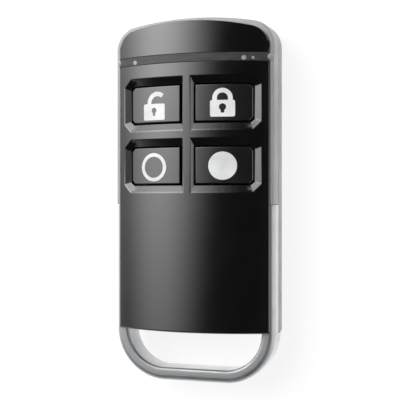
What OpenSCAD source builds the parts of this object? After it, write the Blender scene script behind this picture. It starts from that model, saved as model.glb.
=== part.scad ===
// Four-button alarm key fob, lying on its back: +X across, +Y towards the arched top, +Z out of the front face.
// The origin is the middle of the back. Sizes are in millimetres.

/* [Overall] */
// Width across the side frame
body_w = 32.6; // [30.6:0.5:36.6]
// Length from the arched top to the bottom of the key loop
body_l = 71.5; // [68.5:0.5:79]
// Thickness from the flat back to the top of the crown
body_t = 12; // [11.8:0.1:14]
// Radius of the crowned face across the width
crown_r = 34; // [32:0.5:60]
// Radius of the arched top end, seen from the front
top_arc_r = 65; // [48:1:90]
// Radius of the two top corners of the side frame
top_corner_r = 4.8; // [3.8:0.1:6.3]

/* [Rear shell] */
// Height of the rear shell, up to the joint with the side frame
rear_h = 4.4; // [4:0.1:5]
// Thickness of the rear shell's side walls
rear_wall = 1.3; // [1:0.1:1.6]
// Thickness of the rear shell's floor
rear_floor = 1; // [0.8:0.05:1.3]
// Radius of the rounded edge along the back
back_round = 2; // [1:0.1:2.4]
// Chamfer along the back at the loop end
end_chamfer = 0.8; // [0.3:0.1:1]

/* [Side frame] */
// Width of the side frame, and of the loop's bar
frame_w = 2.6; // [2.3:0.1:2.9]
// Ledge of the side frame that shows along the cover's sides
frame_ledge = 0.8; // [0.6:0.05:1.1]
// Ledge of the side frame that shows at the arched top
top_ledge = 1.2; // [0.8:0.05:1.5]
// Height of the cover's own edge above the side frame
cover_lip = 0.35; // [0.2:0.05:0.5]
// Open joint where the side frame, the loop's arms and the rear shell end against each other
joint_gap = 0.1; // [0.05:0.01:0.2]

/* [Key loop] */
// Outer corner radius of the loop, which also sets how far it stands out of the case
loop_corner_r = 10.05; // [9.3:0.05:12.3]
// Clear height under the loop when the fob lies on its back
loop_lift = 1.8; // [1:0.1:2.4]
// Edge radius of the loop's bar
loop_round = 1; // [0.5:0.05:1.1]
// Length of the loop with its arms along the sides
loop_l = 34.8; // [30.3:0.5:38.3]
// Thickness of the loop's two inner screw lugs
lug_t = 1.2; // [1:0.05:1.4]
// Width of the screw lugs
lug_d = 5.2; // [4.6:0.1:5.6]

/* [Front cover] */
// Thickness of the crowned roof
cover_wall = 1.5; // [1.3:0.05:1.7]
// Thickness of the skirt inside the side frame
skirt_t = 0.9; // [0.7:0.05:1]
// Thickness of the wall at the loop end
end_wall = 1.2; // [1:0.05:1.5]
// Radius of the cover's edge at the loop end
end_round = 0.4; // [0.2:0.05:1]
// Clearance between pieces that fit into each other
fit_gap = 0.1; // [0.05:0.01:0.15]
// Diameter of the posts that hold the circuit board down
hold_d = 2; // [1.6:0.1:2.4]

/* [Keys] */
// Height of a key cap, along the fob
key_h = 7.1; // [6:0.1:7.6]
// Cut corner of a key cap, on its outer side
key_corner = 0.7; // [0.3:0.05:1]
// Gap all round a key cap
key_gap = 0.3; // [0.25:0.01:0.4]
// Distance from the arched top to the middle of the four keys
keys_from_top = 23.1; // [22.7:0.1:27]
// Width of the bar between the two columns of wells
centre_bar = 1.5; // [1.2:0.1:2]
// Width of the bar between the two rows of wells
cross_bar = 1.6; // [1.2:0.1:2.2]
// Flat border of the cover outside the wells
rim_w = 1.35; // [1.15:0.05:2]
// Depth of a well below the crown
well_depth = 0.75; // [0.6:0.05:0.9]
// Width of the sloped well walls above and below a key
well_slope_y = 1.35; // [1.1:0.05:1.6]
// Width of the sloped well wall on the outer side
well_slope_out = 1.4; // [1.2:0.05:1.7]
// Width of the steep well wall beside the centre bar
well_slope_in = 0.5; // [0.4:0.05:0.7]
// Cut outer corner of a well at the face
well_corner = 1.6; // [1.2:0.05:1.9]
// How far a key's face stands above the foot of its well
key_proud = 0.1; // [0.05:0.01:0.2]
// Travel of a key
key_travel = 0.5; // [0.3:0.05:0.55]
// Wall thickness of a key cap
key_wall = 1; // [0.8:0.05:1.2]
// Depth of the hollow under a key cap
key_hollow = 1.2; // [0.8:0.05:1.3]
// Diameter of the stem inside a key cap
stem_d = 2.4; // [2:0.1:3]
// Thickness of the flanges that keep a key in its guide
flange_t = 0.5; // [0.4:0.05:0.6]
// How far the flanges stand out of a key
flange_reach = 0.8; // [0.6:0.05:1]
// Length of a flange across the fob
flange_w = 6; // [4:0.1:7]
// Play between a flange and the foot of its guide
flange_play = 0.1; // [0.05:0.01:0.15]
// Wall thickness of the guides round the keys
guide_t = 0.8; // [0.6:0.05:0.9]

/* [Light strip] */
// Distance from the arched top to the middle of the light strip
strip_from_top = 8.4; // [7.8:0.1:8.6]
// Width of the light strip, along the fob
strip_w = 1.6; // [1.4:0.1:2]
// Thickness of the light strip
strip_t = 0.8; // [0.6:0.05:0.9]
// Distance of the strip's legs from the sides of the fob
leg_from_side = 4.5; // [4.5:0.1:6.3]
// Size of a leg across the fob
leg_w = 1.4; // [1:0.1:1.6]
// Size of a leg along the fob
leg_d = 1.2; // [1:0.05:1.4]

/* [Circuit board] */
// Thickness of the circuit board
board_t = 0.8; // [0.6:0.05:1]
// Gap between the circuit board and the side frame
board_gap = 0.4; // [0.3:0.05:0.6]
// Diameter of the posts under the circuit board
post_d = 2.4; // [2:0.1:3]
// Side of a tact switch
switch_w = 4.2; // [3.6:0.1:5]
// Height of a tact switch's base
switch_h = 0.75; // [0.7:0.01:0.9]
// Bore of a tact switch's base
switch_bore = 3; // [2.9:0.05:3.4]
// Thickness of the plate over a tact switch
plate_t = 0.15; // [0.1:0.01:0.2]
// Diameter of a switch plunger
plunger_d = 2; // [1.6:0.1:2.2]
// Diameter of the plunger's collar under the plate
plunger_collar_d = 2.7; // [2.5:0.05:2.8]
// Thickness of the plunger's collar
plunger_collar_t = 0.15; // [0.1:0.01:0.15]
// Height of a plunger above its plate
plunger_lift = 0.6; // [0.58:0.01:0.8]
// Clearance round a plunger and over its collar
plunger_gap = 0.04; // [0.03:0.005:0.05]
// Side of the microcontroller
chip_w = 4; // [3:0.5:5]
// Height of the microcontroller
chip_h = 0.85; // [0.6:0.05:1.2]
// Length of the crystal's can
crystal_l = 3.2; // [2.5:0.1:4]
// Width of the crystal's can
crystal_w = 2.5; // [2:0.1:3]
// Height of the crystal's can
crystal_h = 0.8; // [0.6:0.05:1.2]
// Length of a small chip part
chip_part_l = 1.6; // [1:0.1:1.6]
// Width of a small chip part
chip_part_w = 0.8; // [0.5:0.1:1]
// Height of a small chip part
chip_part_h = 0.5; // [0.3:0.05:0.8]
// Height of a lamp
led_h = 0.6; // [0.4:0.05:0.8]
// Gap between a lamp and the leg above it
led_gap = 0.3; // [0.2:0.05:0.5]
// Wire diameter of the antenna
antenna_d = 0.8; // [0.6:0.05:1]
// Span of the antenna across the board
antenna_span = 15; // [12:0.5:17]
// Height of the antenna's wire above the board, at its middle line
antenna_h = 2.4; // [2:0.1:2.6]
// Bend radius of the antenna's corners
antenna_bend = 1.2; // [1:0.1:1.5]
// Distance of the antenna from the board's loop end
antenna_from_end = 6.7; // [6:0.1:8]
// Gap between neighbouring chip parts
chip_gap = 0.8; // [0.5:0.1:1]

/* [Power cell] */
// Diameter of the coin cell
cell_d = 20; // [19:0.1:21]
// Height of the coin cell
cell_h = 3.2; // [2.5:0.1:3.3]
// Diameter of the cell's cap
cell_cap_d = 17.8; // [16:0.1:18]
// Height of the cell's cap
cell_cap_h = 0.3; // [0.2:0.05:0.4]
// Distance from the case's loop end to the middle of the cell
cell_from_end = 17.4; // [17:0.1:19]
// Gap round the cell
cell_gap = 0.3; // [0.2:0.05:0.4]
// Thickness of the strap under the cell
clip_t = 0.25; // [0.2:0.01:0.3]
// Width of the strap under the cell
clip_w = 6; // [4:0.1:8]
// Length of the strap's feet
clip_foot = 1.6; // [1.2:0.1:2]
// Thickness of the contact over the cell
contact_t = 0.25; // [0.2:0.01:0.3]
// Outer diameter of the contact over the cell
contact_d = 9; // [7:0.1:12]
// Bore of the contact over the cell
contact_bore = 4; // [2:0.1:5]
// Thickness of the cradle's ribs round the cell
cradle_t = 0.8; // [0.6:0.05:1]
// Height of the cradle's ribs
cradle_h = 2.2; // [1.5:0.1:2.4]

/* [Case screws] */
// Distance of a screw from the side of the fob
screw_from_side = 6; // [5.8:0.1:6.8]
// Shank diameter of a screw
screw_d = 2; // [1.6:0.1:2.2]
// Head diameter of a screw
head_d = 3.8; // [3.4:0.1:4]
// Head height of a screw
head_h = 1.3; // [1:0.05:1.4]
// Depth of a screw's head below the back
head_sink = 0.5; // [0.2:0.05:0.8]
// Length of a screw's drive slots
drive_l = 2.2; // [1.6:0.1:2.6]
// Width of a screw's drive slots
drive_w = 0.5; // [0.4:0.05:0.7]
// Depth of a screw's drive slots
drive_h = 0.7; // [0.4:0.05:0.9]
// Length of a screw inside the cover's post
screw_grip = 3; // [2:0.1:3.2]
// Clearance round a screw's shank
screw_gap = 0.05; // [0.03:0.01:0.1]
// Wall round a screw's holes
boss_wall = 0.9; // [0.7:0.05:1]

/* [Top catches] */
// Thickness of a catch tongue
catch_t = 0.8; // [0.6:0.05:0.9]
// Width of a catch tongue
catch_w = 5; // [3:0.1:6]
// Distance of the catches from the middle of the fob
catch_x = 6; // [5:0.1:7]
// How far a catch's barb reaches into the skirt
barb_reach = 0.5; // [0.3:0.05:0.6]
// Height of a catch's barb
barb_h = 0.5; // [0.4:0.05:0.6]
// Play above and below a barb in its window
barb_play = 0.1; // [0.05:0.01:0.15]

/* [Hidden] */
$fn = 96;

black_plastic = "#1c1d20";
key_black = "#232428";
smoked = "#4a4d52";
satin_silver = "#b9bcc0";
chrome = "#d9dce0";
board_green = "#2f6b45";
steel = "#c3c6c9";
copper = "#b87b4a";

// A small overlap that makes cuts run clear of the faces they open
over = 0.5;

// Least corner radius of an inset outline
least_corner = 0.4;

// How far the slopes of a well's cutter run on above the face and below the foot, as shares of their height
above_face = 0.5;
below_foot = 0.4;

// Plan: half widths and the ends of the case
half_w = body_w / 2;
cover_half = half_w - frame_ledge;
y_top = body_l / 2;
y_loop = -body_l / 2;
y_bend = y_loop + loop_corner_r;
y_end = y_bend + joint_gap;
y_arm = y_loop + loop_l;
arc_y = y_top - top_arc_r;

// Heights of the crown and of the joint between frame and cover
crown_z = body_t - crown_r;
z_rim = crown_at(cover_half) - cover_lip;

// Insets from the outer side of the fob
skirt_out = frame_w + fit_gap;
skirt_in = skirt_out + skirt_t;
catch_in = skirt_in + fit_gap;

// Heights of the stack inside, from the floor up
z_cell = rear_floor + clip_t;
z_contact = z_cell + cell_h;
z_board = z_contact + contact_t;
z_parts = z_board + board_t;
z_plate = z_parts + switch_h;
z_key = z_plate + plate_t + plunger_lift;
z_guide = z_key + flange_t + flange_play;
z_lug = rear_h + lug_t;
z_skirt = z_lug + 2 * fit_gap;
z_head = head_sink + head_h;

// Keys and wells
key_in = centre_bar / 2 + well_slope_in + key_gap;
key_out = cover_half - rim_w - well_slope_out - key_gap;
key_mid = (key_in + key_out) / 2;
well_half = key_h / 2 + key_gap + well_slope_y;
key_pitch = 2 * well_half + cross_bar;
y_keys = y_top - keys_from_top;
floor_r = crown_r - well_depth;

// Places of the inner parts
y_strip = y_top - strip_from_top;
leg_x = half_w - leg_from_side;
z_leg = z_parts + led_h + led_gap;
y_screw = y_end + end_wall + 2 * fit_gap + lug_d / 2;
y_board = y_screw + lug_d / 2 + 2 * board_gap;
board_half = half_w - frame_w - board_gap;
y_cell = y_end + cell_from_end;
cradle_r = cell_d / 2 + cell_gap;
screw_x = half_w - screw_from_side;
post_x = board_half - post_d;
post_y = [y_strip - strip_w - post_d, y_board + post_d];
hold_y = [y_strip, y_keys, y_board + hold_d];
boss_d = head_d + 2 * fit_gap + 2 * boss_wall;
pillar_d = screw_d + 2 * screw_gap + 2 * boss_wall;
catch_turn = asin(catch_x / top_arc_r);
y_antenna = y_board + antenna_from_end;
y_chip = (y_antenna + row_y(1) - switch_w / 2) / 2;
z_barb = z_skirt + barb_h;
catch_r = top_arc_r - catch_in;
y_board_top = arc_y + (catch_r - catch_t) * cos(catch_turn) - catch_w / 2 * sin(catch_turn) - board_gap;
hole_d = screw_d + 2 * screw_gap;
recess_d = head_d + 2 * fit_gap;

// Slices that make up the rounded edge along the back
back_steps = 6;
layer_t = 0.01;

// Keys by name, with the side and the row of each
KEYS = [["unlock", -1, 0], ["lock", 1, 0], ["ring", -1, 1], ["disc", 1, 1]];

// Height of a coaxial crown surface of radius r at the distance x from the middle
function crown_at(x, r = crown_r) = crown_z + sqrt(r * r - x * x);

// Corner radius of the outline at an inset, never less than a small edge radius
function corner_at(inset) = max(top_corner_r - inset, least_corner);

// Centre of the right top corner's arc of the outline at an inset
function corner_mid(inset) =
    let (r = corner_at(inset), x = half_w - inset - r)
    [x, arc_y + sqrt(pow(top_arc_r - inset - r, 2) - x * x)];

// Middle of a row of keys: row 0 is the upper one
function row_y(row) = y_keys + (row == 0 ? 1 : -1) * key_pitch / 2;

// Mirrors its children to the left when the side is -1
module at_side(side) {
    if (side < 0) mirror([1, 0, 0]) children();
    else children();
}

// Everything on the far side of a plane through a point, in the direction of its normal
module half_space(point, normal) {
    n = normal / norm(normal);
    translate(point) rotate([0, acos(n.z), atan2(n.y, n.x)])
        translate([-body_l, -body_l, 0]) cube([2 * body_l, 2 * body_l, body_l]);
}

// Outline of the fob from above: straight sides, rounded corners and an arched top
module body_outline(inset, y_low) {
    mid = corner_mid(inset);
    w = half_w - inset;
    out = [mid.x, mid.y - arc_y] / norm([mid.x, mid.y - arc_y]);
    near = mid - over * out;
    far = mid + half_w * out;
    translate([-w, y_low]) square([2 * w, mid.y - y_low]);
    for (side = [-1, 1]) translate([side * mid.x, mid.y]) circle(corner_at(inset));
    intersection() {
        translate([0, arc_y]) circle(top_arc_r - inset, $fn = 4 * $fn);
        polygon([[-near.x, near.y], near, far, [-far.x, far.y]]);
    }
}

// An outline of the fob raised from one height to another
module outline_block(inset, y_low, z_from, z_to) {
    translate([0, 0, z_from]) linear_extrude(z_to - z_from) body_outline(inset, y_low);
}

// Turns a profile (radius, length along the fob) about the axis of the crown
module crown_revolve() {
    translate([0, 0, crown_z]) rotate([-90, 0, 0]) rotate_extrude() children();
}

// Everything under a crown surface of radius r
module under_crown(r) {
    crown_revolve() translate([0, y_loop]) square([r, body_l + over]);
}

// Everything under the front face, with its edge at the loop end rounded
module under_face() {
    crown_revolve() {
        translate([0, y_end]) square([crown_r - end_round, body_l]);
        translate([0, y_end + end_round]) square([crown_r, body_l]);
        translate([crown_r - end_round, y_end + end_round]) circle(end_round);
    }
}

// Outline of a key on the right, grown by a gap, with its two outer corners cut
module key_outline(grow) {
    x0 = key_in - grow;
    x1 = key_out + grow;
    h = key_h / 2 + grow;
    polygon([[x0, -h], [x1 - key_corner, -h], [x1, -h + key_corner],
             [x1, h - key_corner], [x1 - key_corner, h], [x0, h]]);
}

// Cutter for one well on the right: walls that slope from the face down to the gap round the key
module well() {
    foot_in = key_in - key_gap;
    foot_out = key_out + key_gap;
    foot_half = key_h / 2 + key_gap;
    face_in = foot_in - well_slope_in;
    face_out = foot_out + well_slope_out;
    foot_a = [foot_in, crown_at(foot_in, floor_r)];
    foot_b = [foot_out, crown_at(foot_out, floor_r)];
    run_a = [face_in, crown_at(face_in)] - foot_a;
    run_b = [face_out, crown_at(face_out)] - foot_b;
    low_a = foot_a - below_foot * run_a;
    low_b = foot_b - below_foot * run_b;
    high_a = foot_a + (1 + above_face) * run_a;
    high_b = foot_b + (1 + above_face) * run_b;
    low_half = foot_half - below_foot * well_slope_y;
    high_half = foot_half + (1 + above_face) * well_slope_y;
    low_r = floor_r - below_foot * well_depth;
    high_r = floor_r + (1 + above_face) * well_depth;
    difference() {
        intersection() {
            crown_revolve() polygon([
                [low_r, -low_half], [high_r, -high_half], [high_r, high_half], [low_r, low_half]
            ]);
            rotate([90, 0, 0]) linear_extrude(3 * high_half, center = true) polygon([
                low_a, [low_a.x, rear_h], [low_b.x, rear_h], low_b,
                high_b, [high_b.x, body_t + over], [high_a.x, body_t + over], high_a
            ]);
        }
        for (end = [-1, 1]) {
            a = [face_out, end * (well_half - well_corner), crown_at(face_out)];
            b = [face_out - well_corner, end * well_half, crown_at(face_out - well_corner)];
            c = [foot_out, end * (foot_half - key_corner), foot_b.y];
            half_space(c, -end * cross(a - c, b - c));
        }
    }
}

// Places its children at each key, as if it were on the right
module at_keys() {
    for (key = KEYS) at_side(key[1]) translate([0, row_y(key[2]), 0]) children();
}

// Bar of the light strip, or with a gap the groove for it
module strip_bar(gap) {
    crown_revolve() translate([crown_r - strip_t - gap, y_strip - strip_w / 2 - gap])
        square([strip_t + 2 * gap, strip_w + 2 * gap]);
}

// Legs of the light strip, or with a gap the slots for them
module strip_legs(gap) {
    intersection() {
        under_crown(crown_r - strip_t / 2);
        for (side = [-1, 1]) translate([side * leg_x - leg_w / 2 - gap, y_strip - leg_d / 2 - gap, z_leg - gap])
            cube([leg_w + 2 * gap, leg_d + 2 * gap, body_t]);
    }
}

// Places its children at each catch, with +Y pointing out of the arched top
module at_catches() {
    for (side = [-1, 1]) translate([0, arc_y, 0]) rotate([0, 0, side * catch_turn])
        translate([0, catch_r, 0]) children();
}

// Places its children at each case screw
module at_screws() {
    for (side = [-1, 1]) translate([side * screw_x, y_screw, 0]) children();
}

// Outline of the cover raised through its roof: it stands further back from the arched top than from the sides
module cover_block() {
    back = top_ledge - frame_ledge;
    translate([0, -back, 0]) outline_block(frame_ledge, y_end + back, z_rim, body_t + over);
}

// Crowned roof with its thick border, open below
module cover_roof() {
    difference() {
        intersection() {
            under_face();
            cover_block();
        }
        intersection() {
            under_crown(crown_r - cover_wall);
            outline_block(skirt_in, y_end + end_wall, z_rim - over, body_t);
        }
    }
}

// Skirt inside the side frame, and the wall at the loop end down to the rear shell
module cover_skirt() {
    skirt_w = 2 * (half_w - skirt_out);
    difference() {
        outline_block(skirt_out, y_end, z_skirt, z_rim + fit_gap);
        outline_block(skirt_in, y_end + end_wall, z_skirt - over, z_rim + over);
    }
    translate([-skirt_w / 2, y_end, rear_h]) cube([skirt_w, end_wall, z_rim - rear_h]);
}

// Guides round the keys, the rib under the light strip, screw pillars and hold-down posts, up into the roof
module cover_ribs() {
    rib_w = strip_w + 2 * cover_wall;
    intersection() {
        under_crown(crown_r - cover_wall / 2);
        union() {
            at_keys() translate([0, 0, z_guide]) linear_extrude(body_t) key_outline(key_gap + guide_t);
            at_screws() translate([0, 0, z_lug]) cylinder(d = pillar_d, h = body_t);
            for (y = hold_y) translate([0, y, z_parts]) cylinder(d = hold_d, h = body_t);
            intersection() {
                outline_block(skirt_out, y_strip - rib_w / 2, z_skirt, body_t);
                crown_revolve() translate([crown_r - cover_wall - strip_t, y_strip - rib_w / 2])
                    square([cover_wall, rib_w]);
            }
        }
    }
}

module front_cover() {
    color(black_plastic) difference() {
        union() {
            cover_roof();
            cover_skirt();
            cover_ribs();
        }
        at_keys() {
            well();
            translate([0, 0, z_key - key_travel - over]) linear_extrude(body_t) key_outline(key_gap);
        }
        strip_bar(fit_gap / 2);
        strip_legs(fit_gap);
        at_screws() translate([0, 0, z_lug - over]) cylinder(d = hole_d, h = screw_grip + 2 * over);
        at_catches() translate([-catch_w / 2 - barb_play, -over, z_barb - barb_play])
            cube([catch_w + 2 * barb_play, skirt_t + fit_gap + over + fit_gap / 2, barb_h + 2 * barb_play]);
    }
}

module light_strip() {
    color(smoked) {
        intersection() {
            strip_bar(0);
            cover_block();
        }
        strip_legs(0);
    }
}

// One key cap: a crowned shell with cut outer corners, two flanges and a stem
module button(side, row) {
    at_side(side) translate([0, row_y(row), 0]) color(key_black) {
        difference() {
            intersection() {
                under_crown(floor_r + key_proud);
                translate([0, 0, z_key]) linear_extrude(body_t) key_outline(0);
            }
            translate([0, 0, z_key - over]) linear_extrude(key_hollow + over) key_outline(-key_wall);
        }
        for (end = [-1, 1]) translate([key_mid - flange_w / 2, end * (key_h / 2 + flange_reach / 2), z_key])
            translate([0, -flange_reach / 2 - key_wall / 2, 0])
                cube([flange_w, flange_reach + key_wall, flange_t]);
        translate([key_mid, 0, z_key]) cylinder(d = stem_d, h = key_hollow + over);
    }
}

module side_frame() {
    color(satin_silver) difference() {
        outline_block(0, y_arm + joint_gap, rear_h, z_rim);
        outline_block(frame_w, y_arm - over, rear_h - over, z_rim + over);
    }
}

// Section of the loop's bar, from its inner side out, with all four edges rounded
module bar_section(z_from, z_to) {
    r = loop_round;
    h = z_to - z_from;
    translate([r, z_from]) square([frame_w - 2 * r, h]);
    translate([0, z_from + r]) square([frame_w, h - 2 * r]);
    for (x = [r, frame_w - r], z = [z_from + r, z_to - r]) translate([x, z]) circle(r);
}

// Section of an arm beside the case: only its two outer edges are rounded
module arm_section() {
    bar_section(rear_h, z_rim);
    translate([0, rear_h]) square([frame_w - loop_round, z_rim - rear_h]);
}

module key_loop() {
    bend_x = half_w - loop_corner_r;
    color(chrome) {
        for (side = [-1, 1]) at_side(side) {
            translate([half_w - frame_w, y_arm, 0]) rotate([90, 0, 0])
                linear_extrude(y_arm - y_bend) arm_section();
            translate([bend_x, y_bend, 0]) rotate([0, 0, -90]) rotate_extrude(angle = 90)
                translate([loop_corner_r - frame_w, 0]) bar_section(loop_lift, z_rim);
            difference() {
                translate([screw_x, y_screw, rear_h]) union() {
                    cylinder(d = lug_d, h = lug_t);
                    translate([0, -lug_d / 2, 0]) cube([screw_from_side - frame_w + loop_round, lug_d, lug_t]);
                }
                translate([screw_x, y_screw, rear_h - over]) cylinder(d = hole_d, h = lug_t + 2 * over);
            }
        }
        translate([-bend_x, y_loop, 0]) rotate([90, 0, 90])
            linear_extrude(2 * bend_x) bar_section(loop_lift, z_rim);
    }
}

// Rear shell before it is hollowed: flat back, with its edge rounded along the sides and the arched top
module rear_block() {
    difference() {
        hull() {
            for (step = [0:back_steps]) {
                turn = 90 * step / back_steps;
                outline_layer(back_round * (1 - sin(turn)), back_round * (1 - cos(turn)));
            }
            outline_layer(0, rear_h - layer_t);
        }
        half_space([0, y_end, end_chamfer], [0, -1, -1]);
    }
}

// Thin slice of the rear shell's outline at an inset and a height
module outline_layer(inset, z) {
    outline_block(inset, y_end, z, z + layer_t, $fn = 48);
}

module rear_shell() {
    color(satin_silver) difference() {
        union() {
            difference() {
                rear_block();
                outline_block(rear_wall, y_end + rear_wall, rear_floor, rear_h + over);
            }
            at_screws() translate([0, 0, rear_floor / 2]) cylinder(d = boss_d, h = rear_h - rear_floor / 2);
            for (side = [-1, 1], y = post_y) translate([side * post_x, y, rear_floor / 2])
                cylinder(d = post_d, h = z_board - rear_floor / 2);
            translate([0, y_cell, 0]) cradle();
            at_catches() catch_tongue();
        }
        at_screws() {
            translate([0, 0, -over]) cylinder(d = recess_d, h = z_head + over);
            cylinder(d = hole_d, h = rear_h + over);
        }
    }
}

// Ribs round the cell, open at both sides for the strap
module cradle() {
    difference() {
        translate([0, 0, rear_floor / 2]) cylinder(r = cradle_r + cradle_t, h = cradle_h + rear_floor / 2);
        translate([0, 0, rear_floor]) cylinder(r = cradle_r, h = cradle_h + over);
        translate([-body_w, -clip_w, rear_floor]) cube([2 * body_w, 2 * clip_w, cradle_h + over]);
    }
}

// Springy tongue with a barb that hooks into the skirt's window
module catch_tongue() {
    translate([-catch_w / 2, -catch_t, rear_floor / 2])
        cube([catch_w, catch_t, z_barb + barb_h - rear_floor / 2]);
    translate([-catch_w / 2, -catch_t / 2, z_barb]) cube([catch_w, catch_t / 2 + barb_reach, barb_h]);
}

module case_screws() {
    color(steel) at_screws() difference() {
        union() {
            translate([0, 0, head_sink]) cylinder(d = head_d, h = head_h);
            translate([0, 0, head_sink]) cylinder(d = screw_d, h = z_lug + screw_grip - head_sink);
        }
        for (turn = [0, 90]) rotate([0, 0, turn]) translate([-drive_l / 2, -drive_w / 2, head_sink - over])
            cube([drive_l, drive_w, drive_h + over]);
    }
}

module circuit_board() {
    color(board_green) intersection() {
        outline_block(half_w - board_half, y_board, z_board, z_parts);
        translate([-half_w, y_board, z_board]) cube([body_w, y_board_top - y_board, board_t]);
    }
}

module switch_base(side, row) {
    color("dimgray") translate([side * key_mid, row_y(row), z_parts]) difference() {
        translate([-switch_w / 2, -switch_w / 2, 0]) cube([switch_w, switch_w, switch_h]);
        translate([0, 0, -over]) cylinder(d = switch_bore, h = switch_h + 2 * over);
    }
}

module switch_plate(side, row) {
    color(steel) translate([side * key_mid, row_y(row), z_plate]) difference() {
        translate([-switch_w / 2, -switch_w / 2, 0]) cube([switch_w, switch_w, plate_t]);
        translate([0, 0, -over]) cylinder(d = plunger_d + 2 * plunger_gap, h = plate_t + 2 * over);
    }
}

module plunger(side, row) {
    z_collar = z_plate - plunger_gap - plunger_collar_t;
    color("black") translate([side * key_mid, row_y(row), z_collar]) {
        cylinder(d = plunger_collar_d, h = plunger_collar_t);
        cylinder(d = plunger_d, h = z_key - z_collar);
    }
}

module coin_cell() {
    color(steel) translate([0, y_cell, z_cell]) {
        cylinder(d = cell_d, h = cell_h - cell_cap_h);
        cylinder(d = cell_cap_d, h = cell_h);
    }
}

// Strap under the cell, with legs and feet up to the board
module battery_clip() {
    leg_h = z_board - rear_floor;
    color(steel) translate([0, y_cell - clip_w / 2, rear_floor]) for (side = [-1, 1]) at_side(side) {
        cube([cradle_r + clip_t, clip_w, clip_t]);
        translate([cradle_r, 0, 0]) cube([clip_t, clip_w, leg_h]);
        translate([cradle_r, 0, leg_h - clip_t]) cube([clip_t + clip_foot, clip_w, clip_t]);
    }
}

module cell_contact() {
    color(copper) translate([0, y_cell, z_contact]) difference() {
        cylinder(d = contact_d, h = contact_t);
        translate([0, 0, -over]) cylinder(d = contact_bore, h = contact_t + 2 * over);
    }
}

module microcontroller() {
    color("black") translate([-chip_w / 2, y_chip - chip_w / 2, z_parts]) cube([chip_w, chip_w, chip_h]);
}

module crystal() {
    color(steel) translate([chip_w / 2 + 2 * chip_gap, y_chip - crystal_w / 2, z_parts])
        cube([crystal_l, crystal_w, crystal_h]);
}

// Two rows of three small chip parts beside the microcontroller
module passives() {
    pitch = chip_part_l + chip_gap;
    color("tan") translate([-chip_w / 2, y_chip - chip_part_w / 2, z_parts]) for (column = [1:3], end = [-1, 1])
        translate([-column * pitch, end * (chip_part_w + chip_gap), 0])
            cube([chip_part_l, chip_part_w, chip_part_h]);
}

// Wire arch that stands on the board on two legs
module antenna() {
    bend_mid = antenna_span / 2 - antenna_bend;
    color(copper) translate([0, y_antenna, z_parts]) for (side = [-1, 1]) at_side(side) {
        translate([antenna_span / 2, 0, 0]) cylinder(d = antenna_d, h = antenna_h - antenna_bend);
        translate([bend_mid, 0, antenna_h - antenna_bend]) rotate([90, 0, 0]) rotate_extrude(angle = 90)
            translate([antenna_bend, 0]) circle(d = antenna_d);
        translate([0, 0, antenna_h]) rotate([0, 90, 0]) cylinder(d = antenna_d, h = bend_mid);
    }
}

module status_led(side) {
    color("white") translate([side * leg_x - leg_w / 2, y_strip - leg_d / 2, z_parts])
        cube([leg_w, leg_d, led_h]);
}

front_cover();
light_strip();
side_frame();
key_loop();
rear_shell();
case_screws();
circuit_board();
coin_cell();
battery_clip();
cell_contact();
microcontroller();
crystal();
passives();
antenna();
status_led(-1);  // status_led_left
status_led(1);  // status_led_right
for (key = KEYS) {
    button(key[1], key[2]);
    switch_base(key[1], key[2]);
    switch_plate(key[1], key[2]);
    plunger(key[1], key[2]);
}
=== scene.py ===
"""Looks of a slim four-button alarm key fob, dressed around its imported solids.

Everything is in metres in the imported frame: +X across, +Y towards the arched top and
+Z out of the front face, with the origin in the middle of the flat back.
"""

from __future__ import annotations

import logging
import math
from collections.abc import Callable, Iterable, Sequence
from dataclasses import dataclass, field
from enum import Enum

import bmesh
import bpy
from mathutils import Matrix, Vector
from mathutils.geometry import tessellate_polygon


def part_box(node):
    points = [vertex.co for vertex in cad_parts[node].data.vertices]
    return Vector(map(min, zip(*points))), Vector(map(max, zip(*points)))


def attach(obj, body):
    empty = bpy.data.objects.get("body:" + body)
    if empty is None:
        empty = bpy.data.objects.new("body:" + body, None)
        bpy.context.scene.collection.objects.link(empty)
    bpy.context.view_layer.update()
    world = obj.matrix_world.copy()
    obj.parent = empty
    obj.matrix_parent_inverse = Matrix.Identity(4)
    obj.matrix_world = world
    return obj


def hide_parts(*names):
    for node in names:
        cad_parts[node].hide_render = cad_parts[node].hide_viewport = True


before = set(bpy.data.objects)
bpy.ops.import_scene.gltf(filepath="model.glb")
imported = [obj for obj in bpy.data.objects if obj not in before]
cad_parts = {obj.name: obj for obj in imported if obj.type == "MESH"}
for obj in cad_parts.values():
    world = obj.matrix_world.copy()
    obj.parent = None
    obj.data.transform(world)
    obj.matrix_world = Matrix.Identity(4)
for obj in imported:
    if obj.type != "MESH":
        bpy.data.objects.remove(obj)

Pair = tuple[float, float]
Triple = tuple[float, float, float]
Colour = Triple
Outline = list[Pair]
Edge = bmesh.types.BMEdge
EdgeRule = Callable[[Edge], float]
Ring = list[bmesh.types.BMVert]
Material = bpy.types.Material
Piece = bpy.types.Object
Node = bpy.types.Node
Socket = bpy.types.NodeSocket
Source = Node | Socket

MM = 0.001
SIDES = (-1, 1)
Y_AXIS, Z_AXIS = 1, 2
PLAIN, ROUNDED = 0, 1
OUTER_FRONT, INNER_FRONT = 2, 3
HALF_WIDTH = 16.3 * MM
STRIP_MIDDLE = 27.35 * MM
SCREW_PLACE = (10.3 * MM, -21.6 * MM)
WHITE = (1.0, 1.0, 1.0, 1.0)
LOG = logging.getLogger("key_fob")


class Body(Enum):
    """The bodies of the fob that pieces ride on."""

    CASE = "case"
    UNLOCK = "key_unlock"
    LOCK = "key_lock"
    RING = "key_ring"
    DISC = "key_disc"


class Sign(Enum):
    """The signs that are printed on the keys."""

    OPEN_PADLOCK = "open_padlock"
    CLOSED_PADLOCK = "closed_padlock"
    RING = "ring"
    DISC = "disc"


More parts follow.
